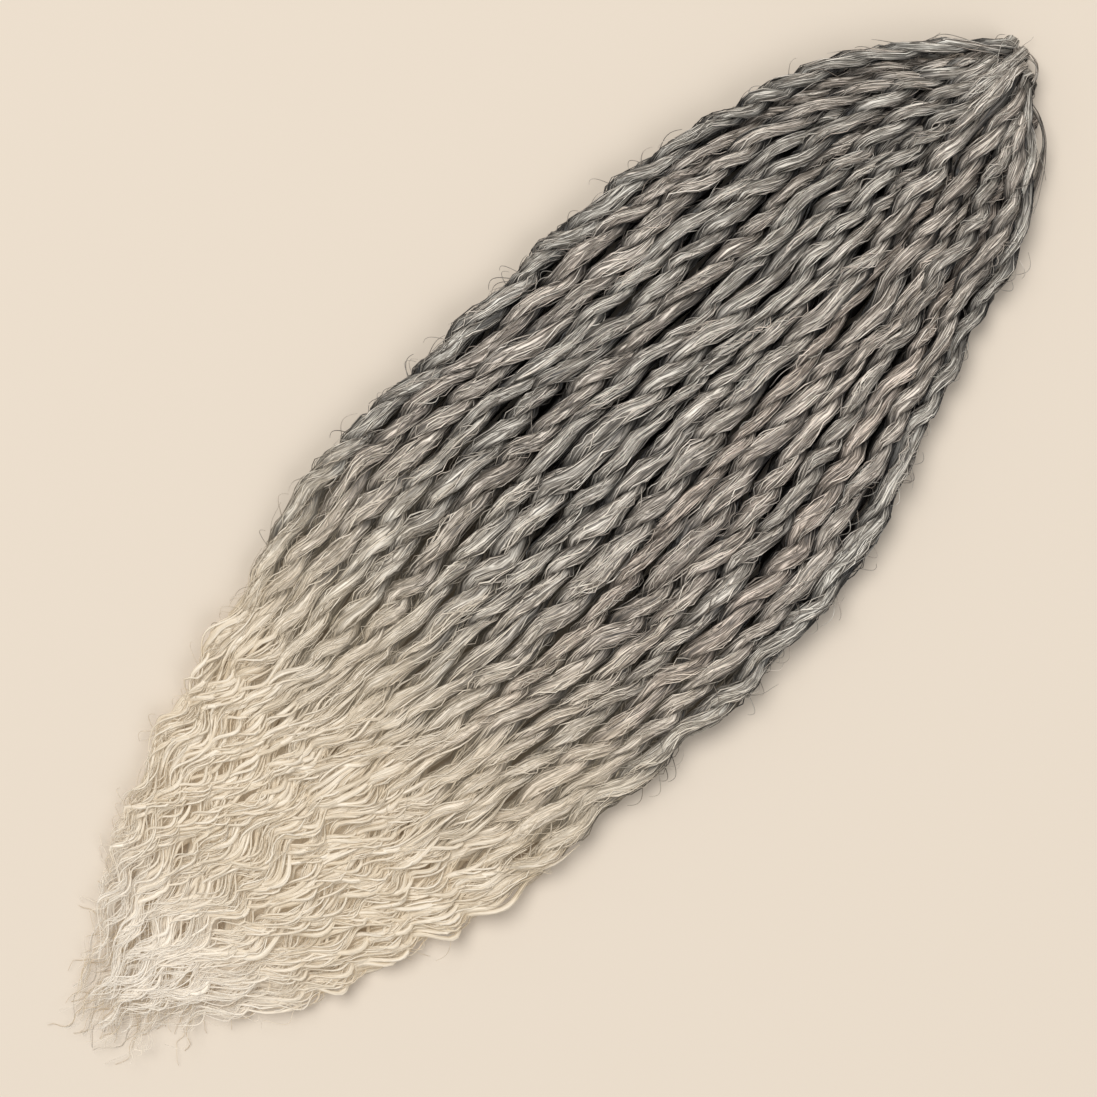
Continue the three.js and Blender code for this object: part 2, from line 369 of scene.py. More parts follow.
def skin(rings, light, warm, depth):
    """Closed tubes through rings, an array of tubes by points by sides by 3."""
    count, points, sides, _ = rings.shape
    middle = rings.mean(axis=2)
    walked = np.linalg.norm(np.diff(middle, axis=1), axis=2)
    along = np.concatenate([np.zeros((count, 1)), np.cumsum(walked, axis=1)], axis=1)
    edges = np.linalg.norm(np.roll(rings, -1, axis=2) - rings, axis=3)
    girth = edges.sum(axis=2).mean(axis=1)

    tube, point, side = np.meshgrid(np.arange(count), np.arange(points - 1), np.arange(sides), indexing="ij")
    following = (side + 1) % sides
    start = (tube * points + point) * sides
    quads = np.stack([start + side, start + following, start + sides + following, start + sides + side], -1)
    along_corner = np.stack([along[tube, point]] * 2 + [along[tube, point + 1]] * 2, axis=-1)
    around = np.stack([side, side + 1, side + 1, side], axis=-1) / sides * girth[:, None, None, None]
    first_ring = np.arange(count)[:, None] * points * sides + np.arange(sides)[None, ::-1]
    last_ring = (np.arange(count)[:, None] * points + points - 1) * sides + np.arange(sides)[None, :]
    finish = np.stack(np.broadcast_arrays(light, warm, depth, np.ones((count, points, sides))), axis=-1)
    return {
        "vertices": rings.reshape(-1, 3),
        "quads": quads.reshape(-1, 4),
        "caps": np.concatenate([first_ring, last_ring]),
        "map": np.stack([along_corner, around], axis=-1).reshape(-1, 2),
        "finish": finish.reshape(-1, 4),
    }


def tubes(paths, radius, sides, light, warm, depth):
    """Closed round tubes along paths, an array of tubes by points by 3."""
    forward = unit(np.gradient(paths, axis=1))
    steepest = np.abs(forward).max(axis=1)
    flat = (steepest[:, 2] < steepest[:, 1])[:, None, None]
    lateral = unit(np.cross(np.where(flat, [0.0, 0.0, 1.0], [0.0, 1.0, 0.0]), forward))
    outward = np.cross(forward, lateral)
    angle = 2 * np.pi * np.arange(sides) / sides + math.pi / 2
    ring = lateral[:, :, None] * np.cos(angle)[:, None] + outward[:, :, None] * np.sin(angle)[:, None]
    rings = paths[:, :, None] + ring * radius[:, :, None, None]
    return skin(rings, light[:, None, None], warm[:, None, None], depth[:, :, None])


def joined(name, parts):
    """One mesh object from the tubes of several groups."""
    vertices, faces, caps, maps, finish = [], [], [], [], []
    offset = 0
    for part in parts:
        vertices.append(part["vertices"])
        faces += (part["quads"] + offset).tolist()
        caps += (part["caps"] + offset).tolist()
        maps.append(part["map"])
        finish.append(part["finish"])
        offset += len(part["vertices"])
    maps.append(np.zeros((sum(len(cap) for cap in caps), 2)))
    mesh = bpy.data.meshes.new(name)
    mesh.from_pydata(np.concatenate(vertices), [], faces + caps)
    layer = mesh.uv_layers.new(name="fibre")
    layer.data.foreach_set("uv", np.concatenate(maps).ravel())
    values = mesh.attributes.new("lock", "FLOAT_COLOR", "POINT")
    values.data.foreach_set("color", np.concatenate(finish).ravel())
    mesh.shade_smooth()
    piece = bpy.data.objects.new(name, mesh)
    bpy.context.collection.objects.link(piece)
    return piece


def triangles(piece):
    return sum(len(polygon.vertices) - 2 for polygon in piece.data.polygons)


# %% [markdown]
# ## How fibre lies in a strand
# In the twisted part a strand is two plies, one half a turn behind the other. Wound tight, each is pressed
# into half of the strand's round, so it is broad across and thin towards the middle. A fibre keeps its own
# bearing in the ply. It doesn't turn with it, and so it slants the way the ply's middle line slants.
#
# In the curled part the twist gets tighter, and the two plies lose their half turn and lie one over the
# other as a slim corkscrew on a broad one. No two have the same size, height or place.

# %% Lay fibre in a strand
PLY_OUT = 0.48  # place of a ply's middle in the strand's round
PLY_DEEP = 0.5  # half size of a ply towards the middle
CURL_SIDE = 3.0 * MM
CURL_RISE = 2.0 * MM
CURL_LEAN = 0.7  # turns the top of a curl to its bend on the right, where light catches it
CURL_LOCK = 2.1 * MM  # half thickness of a curled ply
TAPER = 90 * MM


class Ply:
    """One of the two plies of a leg, with its own corkscrew."""

    def __init__(self, strand, half_turns):
        rng = strand.rng
        self.half_turns = half_turns
        over = half_turns == strand.over
        self.place = (half_turns - 0.5) * 0.5 + rng.uniform(-0.2, 0.2)
        self.rise = (1.4 if over else -1.4) * MM + rng.uniform(-0.5, 0.5) * MM
        self.swing = rng.uniform(0.85, 1.2) * (1 - 0.35 * strand.lane**6)
        self.size = rng.uniform(0.7, 0.9) if over else rng.uniform(1.2, 1.5)
        self.drift = strand.drift + 0.3 * waves(rng, 1, strand.length, 90 * MM)[0] + rng.normal(0, 0.3)
        self.swell = 1 + 0.25 * waves(rng, 1, strand.length, 70 * MM)[0]


def lay(strand, ply, where, bearing, height, out_of_step=0.0, apart=0.0):
    """Places of fibres and how high they lie in the strand, -1 to 1. All arguments are fibres by points."""
    curl = strand.at(where, strand.curl)
    untwined = smoothstep(0.1, 0.9, curl)
    turn = strand.at(where, strand.turn) + math.pi * ply.half_turns
    from_ply = bearing - turn
    reach = height / np.hypot(np.cos(from_ply) / PLY_DEEP, np.sin(from_ply) / strand.at(where, strand.broad))
    wide = strand.at(where, strand.half_width)
    high = strand.at(where, strand.half_height)
    rope_aside = wide * (PLY_OUT * np.cos(turn) + reach * np.cos(bearing))
    rope_out = high * (PLY_OUT * np.sin(turn) + reach * np.sin(bearing))

    swing = turn + untwined * (strand.at(where, ply.drift) + out_of_step - math.pi * ply.half_turns)
    size = ply.swing * strand.at(where, ply.swell)
    to_tip = np.minimum(where, strand.length[-1] - where)
    thick = CURL_LOCK * ply.size * height * (0.4 + 0.6 * smoothstep(0, TAPER, to_tip))
    curl_aside = (ply.place + apart) * wide + CURL_SIDE * size * np.cos(swing) + thick * np.cos(bearing)
    curl_out = 0.8 * thick * np.sin(bearing) + CURL_RISE * size * np.sin(swing - CURL_LEAN * untwined)

    aside = (1 - curl) * rope_aside + curl * curl_aside
    out = (1 - curl) * rope_out + curl * curl_out
    up = curl * ply.rise
    layer = strand.at(where, strand.layer)
    place = np.stack(
        [
            strand.at(where, strand.middle[0]) + np.sqrt(np.maximum(1 - layer**2, 0)) * out,
            strand.at(where, strand.middle[1]) + aside,
            strand.at(where, strand.middle[2]) + layer * out + up,
        ],
        axis=-1,
    )
    level = (out + up * np.sign(layer + 0.01)) / ((1 - curl) * high + curl * (CURL_RISE + CURL_LOCK))
    return place, level


def openness(strand, where, level):
    """How open to the light, for the painted shade in the colour: 1 on top of the bundle, near 0 between its
    two layers.
    """
    layer = strand.at(where, strand.layer)
    curl = strand.at(where, strand.curl)
    at_edge = 1.0 if strand.number in (0, len(strands) - 1) else 0.0
    # Painted shade: an upper ply is darker on its sides than on top, the lower layer darker still but paler
    # where it curls, and the lower legs of the two outermost strands less dark.
    above = smoothstep(0.05 - 1.05 * curl**2, 0.88 - 0.4 * curl, level)
    below = 0.02 + 0.8 * smoothstep(0, 0.6, curl) + 0.3 * at_edge
    return np.where(layer > 0.4, above, below + (above - below) * smoothstep(-0.7, 0.4, layer))


print("plies to a strand:", 2)

# %% [markdown]
# ## Bodies and locks of fibre
# A ply isn't smooth. Its fibres gather in locks a few millimetres broad, and each lock is a few finer ones
# side by side. They rise and sink a little and change places, and about one in three is loose and wanders
# over the others. Under them is one solid body that carries most of the fibre as a finish, so that the round
# of a ply catches the light as a whole. Where the hair curls, the lower bodies are fuller and close the gaps.
#
# Over the plies lie ringlets, which are flat curls. All in a strand keep its step but for a little of their
# own, because fibre that was set together curls together. So they nest, as the photograph shows.

# %% Dress the strands
BODY_HEIGHT = 0.93
BODY_SIDES = 8
FIBRE_RADIUS = 0.3 * MM
LEAST_RADIUS = 0.13 * MM
LONG_LOCKS = (5, 2)  # locks to a ply and fine locks to each, from the fold to the tips
SHORT_LOCKS = (4, 2)  # those that end where the curls begin
LOOSE_SHARE = 0.35
BROAD_RINGLETS = (-1.05, -0.55, -0.05, 0.45, 0.95)  # places across a strand, in its half width
SLIM_RINGLETS = (-0.9, -0.55, -0.2, 0.15, 0.5, 0.85)
RINGLETS = (  # places, half width, sides and least rise
    (BROAD_RINGLETS, 1.25 * MM, 5, 0.6 * MM),
    (SLIM_RINGLETS, 0.62 * MM, 4, 1.6 * MM),
)


def body(strand, ply, first, last, warm):
    """The solid middle of a ply."""
    where = strand.length[first : last + 1][None, :]
    bearing = (2 * np.pi * np.arange(BODY_SIDES) / BODY_SIDES)[:, None]
    to_tip = np.minimum(where, strand.length[-1] - where)
    fuller = 1 + 0.9 * strand.at(where, strand.curl) * (strand.at(where, strand.layer) < 0)
    fuller = fuller * (1 + 0.08 * waves(strand.rng, BODY_SIDES, where, 30 * MM))
    fuller = fuller * (1 - 0.15 * strand.at(where, strand.curl))
    height = BODY_HEIGHT * fuller * (0.1 + 0.9 * smoothstep(5 * MM, 75 * MM, to_tip - strand.short_of_tips))
    place, level = lay(strand, ply, np.repeat(where, BODY_SIDES, axis=0), bearing, height)
    place[..., 2] = np.maximum(place[..., 2], 0.15 * MM)
    # Painted shade, a little darker on the bodies than on the locks.
    depth = openness(strand, where, level) * 0.97
    light = np.full((1, 1, 1), strand.rng.uniform(0.3, 0.6))
    return skin(place.transpose(1, 0, 2)[None], light, np.full((1, 1, 1), warm), depth.T[None])


def fibres(strand, ply, locks, start, end, first, last, warm):
    """Fine locks from start to end, arrays of lengths along the strand, in as many steps as first to last."""
    rng = strand.rng
    bunches, each = locks
    count = bunches * each
    grid = strand.length[first : last + 1]
    share = (grid - grid[0]) / (grid[-1] - grid[0])
    where = grid + (start - grid[0])[:, None] * (1 - share) ** 3 + (end - grid[-1])[:, None] * share**25
    upper = strand.at(where.mean(), strand.layer) > 0
    curl = strand.at(where, strand.curl)
    loose = rng.uniform(0, 1, (count, 1)) < LOOSE_SHARE
    bunch = np.repeat(np.arange(bunches), each)
    beside = np.tile(np.arange(each) - (each - 1) / 2, bunches)
    around = (bunch + rng.uniform(0, 1, bunches)[bunch]) / bunches
    bearing = -0.5 + (math.pi + 1.0) * around if upper else 2 * np.pi * around
    bearing = bearing[:, None] + 0.45 * waves(rng, bunches, grid, 100 * MM)[bunch]
    bearing = bearing + 0.2 * beside[:, None] + np.where(loose, 0.6, 0.14) * waves(rng, count, grid, 50 * MM)
    height = 0.97 + 0.13 * waves(rng, bunches, grid, 55 * MM)[bunch]
    height = height + rng.uniform(-0.1, 0.1, bunches)[bunch, None]
    height = height + np.where(loose, 0.08, 0.04) * waves(rng, count, grid, 35 * MM)
    height = height + np.where(loose, 0.07, 0)
    far_out = rng.uniform(-0.2, 0.9, (count, 1))
    close_in = rng.uniform(-0.5, 0.2, (count, 1))
    height = height + curl * np.where(loose, far_out, close_in)
    own_step = 0.4 * rng.normal(0, 1, bunches)[bunch, None]
    own_step = own_step + np.where(loose, 0.6, 0.1) * rng.normal(0, 1, (count, 1))
    own_step = own_step + np.where(loose, 0.6, 0.15) * waves(rng, count, grid, 70 * MM)
    apart = rng.uniform(-0.45, 0.45, bunches)[bunch, None]
    from_end = np.minimum(where - start[:, None], end[:, None] - where)
    height = height * (0.55 + 0.45 * smoothstep(0, 25 * MM, from_end))
    height = height * (1 - 0.08 * np.exp(-(((where - strand.fold_at) / (14 * MM)) ** 2)))
    place, level = lay(strand, ply, where, bearing, height, own_step, apart)

    to_tip = np.minimum(where, strand.length[-1] - where)
    folded = smoothstep(0.9, 1.0, np.abs(strand.at(where, strand.layer)))[..., None]
    place += rng.normal(0, 0.2 * MM, place.shape) * folded
    free = smoothstep(60 * MM, 5 * MM, to_tip - strand.short_of_tips)
    own = 2 * np.pi * where / (rng.uniform(15, 23, (count, 1)) * MM) + rng.uniform(0, 2 * np.pi, (count, 1))
    place[..., 1] += 1.6 * MM * free * np.cos(own)
    place[..., 2] += 1.2 * MM * free * np.sin(own)
    radius = FIBRE_RADIUS * rng.uniform(0.6, 1.25, (count, 1)) * (1 + 0.3 * waves(rng, count, grid, 35 * MM))
    radius = radius * (0.3 + 0.7 * smoothstep(0, 25 * MM, from_end))
    radius = radius * (0.6 + 0.4 * smoothstep(0, 70 * MM, to_tip))
    radius = np.maximum(radius, LEAST_RADIUS)
    place[..., 2] = np.maximum(place[..., 2], radius + 0.1 * MM)
    light = 0.25 + 0.45 * rng.uniform(-1, 1, bunches)[bunch] + 0.85 * rng.uniform(0, 1, count)
    own_warm = 0.6 * warm + 0.4 * rng.uniform(0, 1, count)
    return tubes(place, radius, 3, light, own_warm, openness(strand, where, level))


def ringlet(strand, place_in_lane, half_width, sides, least_rise, warm):
    """A flat curl over the plies, from where the curls begin to the tips."""
    rng = strand.rng
    curled = np.flatnonzero(strand.curl > rng.uniform(0.01, 0.22))
    last = curled[curled < strand.fold_start].max()
    grid = strand.length[: last + 1]
    short = strand.short_of_tips + min(rng.exponential(14), 45) * MM
    where = grid + short * (1 - grid / grid[-1]) ** 3
    curl = strand.at(where, strand.curl)
    grown = smoothstep(0, 40 * MM, grid[-1] - where)
    own_step = rng.normal(0, 0.8) + 0.7 * waves(rng, 1, where, 80 * MM)[0]
    swing = strand.at(where, strand.turn + strand.drift) + own_step
    size = rng.uniform(0.75, 1.3) * (1 + 0.35 * waves(rng, 1, where, 60 * MM)[0]) * grown
    aside = place_in_lane * strand.at(where, strand.half_width) + CURL_SIDE * size * np.cos(swing)
    rise = (least_rise + rng.uniform(0, 2) * MM) * curl
    rise = rise + 0.45 * (1 - curl) * strand.at(where, strand.half_height)
    out = rise + CURL_RISE * size * np.sin(swing - CURL_LEAN * smoothstep(0.1, 0.9, curl))
    half = half_width * rng.uniform(0.75, 1.25) * (1 + 0.15 * np.sin(swing)) * (0.25 + 0.75 * grown)
    half = half * (0.2 + 0.8 * smoothstep(0, 70 * MM, where - short))
    bearing = 2 * np.pi * np.arange(sides)[:, None] / sides
    middle = [strand.at(where, strand.middle[axis]) for axis in range(3)]
    x = middle[0] + 0 * bearing
    y = middle[1] + aside + half * np.cos(bearing)
    z = middle[2] + out + 0.45 * half * np.sin(bearing)
    rings = np.stack([x, y, np.maximum(z, 0.2 * MM)], axis=-1).transpose(1, 0, 2)[None]
    # Painted shade, by how high the ringlet lies in the strand.
    depth = openness(strand, where + 0 * bearing, (z - middle[2]) / (CURL_RISE + CURL_LOCK))
    light = np.full((1, 1, 1), rng.uniform(0.25, 1.0))
    return skin(rings, light, np.full((1, 1, 1), warm), depth.T[None])


def dress(strand):
    rng = strand.rng
    warm = rng.uniform(0, 1)
    end_of_all = strand.length[-1]
    fold_start, fold_end = strand.fold_start, strand.fold_end
    last = len(strand.length) - 1
    curled = np.flatnonzero(strand.curl > 0.02)
    upper_curled = curled[curled < fold_start].max()
    at_edge = strand.number in (0, 1, len(strands) - 2, len(strands) - 1)
    parts = []
    for half_turns in (0, 1):
        ply = Ply(strand, half_turns)
        parts.append(body(strand, ply, 0, last, warm))
        count = LONG_LOCKS[0] * LONG_LOCKS[1]
        start = np.minimum(rng.exponential(26 * MM, count), 110 * MM) + strand.short_of_tips
        end = strand.length[fold_end] + rng.uniform(5, 30, count) * MM
        parts.append(fibres(strand, ply, LONG_LOCKS, start, end, 0, fold_end + 3, warm))
        count = SHORT_LOCKS[0] * SHORT_LOCKS[1]
        first = upper_curled - 9
        start = strand.length[first] + rng.uniform(0, 60, count) * MM
        end = strand.length[fold_end] + rng.uniform(5, 30, count) * MM
        parts.append(fibres(strand, ply, SHORT_LOCKS, start, end, first, fold_end + 3, warm))
        lower_locks = (4, 2) if at_edge else (4, 1)
        first = fold_end - 1
        count = lower_locks[0] * lower_locks[1]
        start = strand.length[first] - rng.uniform(0, 12, count) * MM
        end = end_of_all - np.minimum(rng.exponential(15 * MM, count), 50 * MM) - strand.short_of_tips
        if at_edge:
            parts.append(fibres(strand, ply, lower_locks, start, end, first, last, warm))
    for places, *kind in RINGLETS:
        for place in places:
            own_warm = 0.6 * warm + 0.4 * rng.uniform(0, 1)
            parts.append(ringlet(strand, place + rng.uniform(-0.2, 0.2), *kind, own_warm))
    return joined(f"twist_{strand.number + 1:02d}", parts)


twists = [dress(strand) for strand in strands]
print("triangles in the twists:", sum(triangles(t) for t in twists))

# %% [markdown]
# ## Frizz, strays and wisps
# Three kinds of loose hair soften the twists. Frizz is short, crimped hair that lies on a strand. Strays
# stand off and leave the edges of the bundle in loose bows. Wisps are the thin curled ends that run out
# beyond the tips. All have their roots in a strand, and are as thin as a mesh can be and still show. A few
# slim locks have slipped out at the point of the head, where the photograph shows them.

# %% Scatter loose hair
BESIDE_HEAD = ((282, -8, 15), (287, -18, 14), (285, -29, 12), (279, -37, 10), (268, -44, 8), (252, -51, 7))
AT_POINT = ((298, 3, 16), (303, -3, 15), (303, -10, 12), (297, -15, 10), (289, -14, 9), (280, -16, 12))
OVER_POINT = ((272, 17, 18), (287, 12, 20), (295, 10, 20), (300, 6, 19), (299, 1, 18), (292, -1, 18))
FRIZZ_PER_STRAND = 46
STRAYS_PER_STRAND = 13
STRAYS_AT_EDGE = 86
STRAYS_AT_FOLD = 12
WISPS_PER_STRAND = 8
HAIR_RADIUS = 0.18 * MM


def frizz(strand, count):
    rng = strand.rng
    ply = Ply(strand, int(rng.integers(0, 2)))
    points = 14
    length = rng.uniform(18, 42, (count, 1)) * MM
    start = rng.uniform(0, strand.length[strand.fold_start] - 20 * MM, (count, 1))
    where = start + length * np.linspace(0, 1, points)
    bearing = rng.uniform(0.2, math.pi - 0.2, (count, 1))
    bearing = bearing + rng.uniform(-0.6, 0.6, (count, 1)) * np.linspace(0, 1, points)
    place, level = lay(strand, ply, where, bearing, np.full(where.shape, 1.12))
    crimp = rng.uniform(0.4, 1.9, (count, 1)) * MM
    phase = 2 * np.pi * where / (rng.uniform(8, 15, (count, 1)) * MM) + rng.uniform(0, 2 * np.pi, (count, 1))
    place[..., 1] += crimp * np.cos(phase)
    place[..., 2] = np.maximum(place[..., 2] + 0.5 * crimp * np.sin(phase), 0.4 * MM)
    slender_ends = np.sin(np.linspace(0.25, math.pi - 0.25, points))
    radius = HAIR_RADIUS * rng.uniform(0.7, 1.5, (count, 1)) * slender_ends
    # Painted shade: frizz that lies low in the strand is darker.
    depth = smoothstep(-0.1, 0.6, level)
    return tubes(place, radius, 3, rng.uniform(0.4, 1.4, count), rng.uniform(0, 1, count), depth)


def strays(strand, count, outer_side=0, at_fold=False):
    rng = strand.rng
    ply = Ply(strand, int(rng.integers(0, 2)))
    points = 14
    last_root = strand.length[strand.fold_start] - 4 * MM
    where = rng.uniform(last_root - 45 * MM if at_fold else 12 * MM, last_root, count)[:, None]
    bearing = rng.uniform(0.15, math.pi - 0.15, count)[:, None]
    if outer_side:
        bearing = rng.uniform(-0.2, 0.9, count)[:, None]
        bearing = bearing if outer_side > 0 else math.pi - bearing
    root = lay(strand, ply, where, bearing, np.full((count, 1), 0.9))[0][:, 0]
    ahead = lay(strand, ply, where + 3 * MM, bearing, np.full((count, 1), 0.9))[0][:, 0]
    forward = unit(ahead - root) * rng.choice([-1, 1], count)[:, None]
    away = np.stack([np.zeros(count), np.cos(bearing[:, 0]), np.sin(bearing[:, 0])], axis=1)
    curl = strand.at(where[:, 0], strand.curl)
    reach = rng.uniform(8, 24, count) * (0.6 if at_fold or outer_side else 1) * MM
    lift = rng.uniform(0.5, 3.0, count) * MM * (2.4 if outer_side else 1)
    bow = rng.uniform(-3, 3, count) * MM
    t = np.linspace(0, 1, points)
    curl_size = rng.uniform(0.3, 1.6, count) * MM + 3.0 * MM * curl
    turns = reach / (rng.uniform(12, 24, count) * MM)
    phase = 2 * np.pi * turns[:, None] * t + rng.uniform(0, 2 * np.pi, count)[:, None]
    path = root[:, None] + forward[:, None] * (reach[:, None] * t)[..., None]
    path += away[:, None] * (lift[:, None] * np.sin(np.pi * 0.8 * t))[..., None]
    path[..., 1] += bow[:, None] * t**2 + curl_size[:, None] * t * np.sin(phase)
    path[..., 2] += curl_size[:, None] * 0.5 * t * np.cos(phase)
    path[..., 2] = np.maximum(path[..., 2], 0.4 * MM)
    radius = HAIR_RADIUS * rng.uniform(0.8, 1.25, (count, 1)) * (1 - 0.5 * t**2)[None, :]
    depth = np.full((count, points), 0.8)
    return tubes(path, radius, 3, rng.uniform(0, 0.8, count), rng.uniform(0, 1, count), depth)


def wisps(strand, count):
    rng = strand.rng
    points = 18
    tip = strand.middle[:, 0] + np.array([strand.short_of_tips, 0, -3 * MM])
    apart = [rng.uniform(8, 50, count), rng.normal(0, 2.5, count), rng.uniform(-3, 3, count)]
    root = tip + np.stack(apart, 1) * MM
    t = np.linspace(0, 1, points)
    reach = rng.uniform(12, 36, (count, 1)) * MM
    heading = rng.normal(0, 0.35, (count, 1)) + 0.6 * strand.lane
    size = rng.uniform(0.8, 2.6, (count, 1)) * MM
    phase = 2 * np.pi * reach * t / (rng.uniform(9, 18, (count, 1)) * MM)
    phase = phase + rng.uniform(0, 2 * np.pi, (count, 1))
    path = np.stack(
        [
            root[:, :1] - reach * t * np.cos(heading) + size * t * np.sin(1.7 * phase) * 0.5,
            root[:, 1:2] + reach * t * np.sin(heading) + size * np.cos(phase) * np.minimum(3 * t, 1),
            root[:, 2:] * (1 - t) ** 1.5 + size * (1 + np.sin(phase)) * 0.6 + 0.3 * MM,
        ],
        axis=-1,
    )
    path[..., 2] = np.maximum(path[..., 2], 0.3 * MM)
    radius = HAIR_RADIUS * rng.uniform(0.8, 1.3, (count, 1)) * (1 - 0.4 * t)
    # Open to the light 0: the wisps take the tint that paints shade on other fibre and only the weaker
    # painted glow, so they are browner, as the thin ends are.
    depth = np.zeros((count, points))
    return tubes(path, radius, 3, rng.uniform(-0.6, 0.1, count), rng.uniform(0, 1, count), depth)


def slim_lock(corners, count, spread, light):
    """A few hairs side by side along a bow through corners, in millimetres."""
    rng = np.random.default_rng(len(corners) + count)
    points = 26
    t = np.linspace(0, len(corners) - 1, points)
    route = [np.interp(t, np.arange(len(corners)), column) for column in np.array(corners).T]
    route = np.stack(route, axis=1)
    for _ in range(6):
        route[1:-1] = (route[:-2] + 2 * route[1:-1] + route[2:]) / 4
    walked = np.linspace(0, 1, points)
    apart = rng.normal(0, spread, (count, 1, 3)) * (0.6 + 0.4 * np.cos(2 * np.pi * walked)[None, :, None])
    path = (route[None] + apart) * MM
    path[..., 1] += 0.3 * MM * waves(rng, count, walked, 0.5)
    path[..., 2] = np.maximum(path[..., 2], 0.4 * MM)
    slender_ends = np.sin(np.linspace(0.3, math.pi - 0.3, points))
    radius = HAIR_RADIUS * rng.uniform(0.9, 1.8, (count, 1)) * slender_ends
    own_light = light + rng.uniform(-0.2, 0.3, count)
    return tubes(path, radius, 3, own_light, rng.uniform(0, 1, count), np.full((count, points), 0.85))


frizz_hair = joined("frizz", [frizz(strand, FRIZZ_PER_STRAND) for strand in strands])
stray_parts = [strays(strand, STRAYS_PER_STRAND) for strand in strands]
stray_parts += [strays(strand, STRAYS_AT_FOLD, at_fold=True) for strand in strands]
for strand in strands[:2]:
    stray_parts.append(strays(strand, STRAYS_AT_EDGE, outer_side=-1))
for strand in strands[-2:]:
    stray_parts.append(strays(strand, STRAYS_AT_EDGE, outer_side=1))
stray_parts.append(slim_lock(BESIDE_HEAD, 16, 1.1, 0.2))
stray_parts.append(slim_lock(AT_POINT, 8, 1.3, 0.6))
stray_parts.append(slim_lock(OVER_POINT, 12, 0.9, 0.1))
stray_hair = joined("stray_hairs", stray_parts)
wisp_hair = joined("tip_wisps", [wisps(strand, WISPS_PER_STRAND) for strand in strands])
loose_pieces = [frizz_hair, stray_hair, wisp_hair]
print("triangles in the loose hair:", [triangles(piece) for piece in loose_pieces])

# %% [markdown]
# ## Hair finish
# The colour runs from taupe grey at the head to cream blonde at the tips. The change isn't a line: each lock
# turns at its own place. Over that lie the fibres, fine streaks that follow the tube's own map and are a
# little raised, and painted shade between the layers, where the real bundle is nearly black. Pale fibre lets
# light through from lock to lock, which a closed tube can't, so the blonde gets a faint warm painted glow
# instead. It is also less shiny than the grey.
# It is also less shiny than the grey.


# %% Small helpers for nodes
def node_at(tree, kind, x, y, **settings):
    node = tree.nodes.new(kind)
    node.location = (x, y)
    for key, value in settings.items():
        setattr(node, key, value)
    return node


def calculate(tree, operation, x, y, *values, clamp=False):
    node = node_at(tree, "ShaderNodeMath", x, y, operation=operation, use_clamp=clamp)
    for socket, value in zip(node.inputs, values):
        if isinstance(value, (int, float)):
            socket.default_value = value
        else:
            tree.links.new(value, socket)
    return node.outputs[0]


def mix_colours(tree, x, y, factor, first, second, blend="MIX"):
    node = node_at(tree, "ShaderNodeMix", x, y, data_type="RGBA", blend_type=blend)
    for socket, value in ((node.inputs[0], factor), (node.inputs[6], first), (node.inputs[7], second)):
        if isinstance(value, (int, float, tuple)):
            socket.default_value = value
        else:
            tree.links.new(value, socket)
    return node.outputs[2]


def ramp(tree, x, y, factor, stops):
    node = node_at(tree, "ShaderNodeValToRGB", x, y)
    elements = node.color_ramp.elements
    while len(elements) < len(stops):
        elements.new(0.5)
    for element, (place, colour) in zip(elements, stops):
        element.position = place
        element.color = (*colour, 1)
    tree.links.new(factor, node.inputs[0])
    return node.outputs[0]


def new_group(name, inputs, outputs):
    group = bpy.data.node_groups.new(name, "ShaderNodeTree")
    for socket, kind in inputs:
        group.interface.new_socket(socket, in_out="INPUT", socket_type=kind)
    for socket in outputs:
        group.interface.new_socket(socket, in_out="OUTPUT", socket_type="NodeSocketFloat")
    return group, node_at(group, "NodeGroupInput", -900, 0), node_at(group, "NodeGroupOutput", 500, 0)


print("helpers ready")


# %% Group: fibre streaks
def streak_group():
    inputs = (("Map", "NodeSocketVector"), ("Lock", "NodeSocketFloat"))
    group, inside, outside = new_group("fibre_streaks", inputs, ("Fine", "Broad"))
    shifted = node_at(group, "ShaderNodeCombineXYZ", -700, -200)
    shift = calculate(group, "MULTIPLY", -850, -200, inside.outputs["Lock"], 37.0)
    group.links.new(shift, shifted.inputs["Z"])
    for row, (along, around, socket) in enumerate(((70, 1900, "Fine"), (40, 750, "Broad"))):
        stretch = node_at(group, "ShaderNodeMapping", -650, 200 - 300 * row)
        stretch.inputs["Scale"].default_value = (along, around, 1)
        group.links.new(inside.outputs["Map"], stretch.inputs["Vector"])
        add = node_at(group, "ShaderNodeVectorMath", -450, 200 - 300 * row, operation="ADD")
        group.links.new(stretch.outputs[0], add.inputs[0])
        group.links.new(shifted.outputs[0], add.inputs[1])
        noise = node_at(group, "ShaderNodeTexNoise", -250, 200 - 300 * row)
        noise.inputs["Scale"].default_value = 1.0
        noise.inputs["Detail"].default_value = 2.0
        noise.inputs["Roughness"].default_value = 0.6
        noise.inputs["Distortion"].default_value = 0.6
        group.links.new(add.outputs[0], noise.inputs["Vector"])
        spread = node_at(group, "ShaderNodeMapRange", -50, 200 - 300 * row)
        spread.inputs["From Min"].default_value = 0.4
        spread.inputs["From Max"].default_value = 0.6
        group.links.new(noise.outputs[0], spread.inputs["Value"])
        group.links.new(spread.outputs[0], outside.inputs[socket])
    return group


fibre_streaks = streak_group()
print("group:", fibre_streaks.name, [s.name for s in fibre_streaks.interface.items_tree])

# %% [markdown]
# The change of colour is a second group. It reads the place along X, adds the lock's own lead or lag, some
# slow noise and a lead at the right-hand edge, and gives two masks. Tip is 0 where the hair has its head
# colour and 1 where it is blonde. End grows over the last hand's breadth, where it gets paler still.

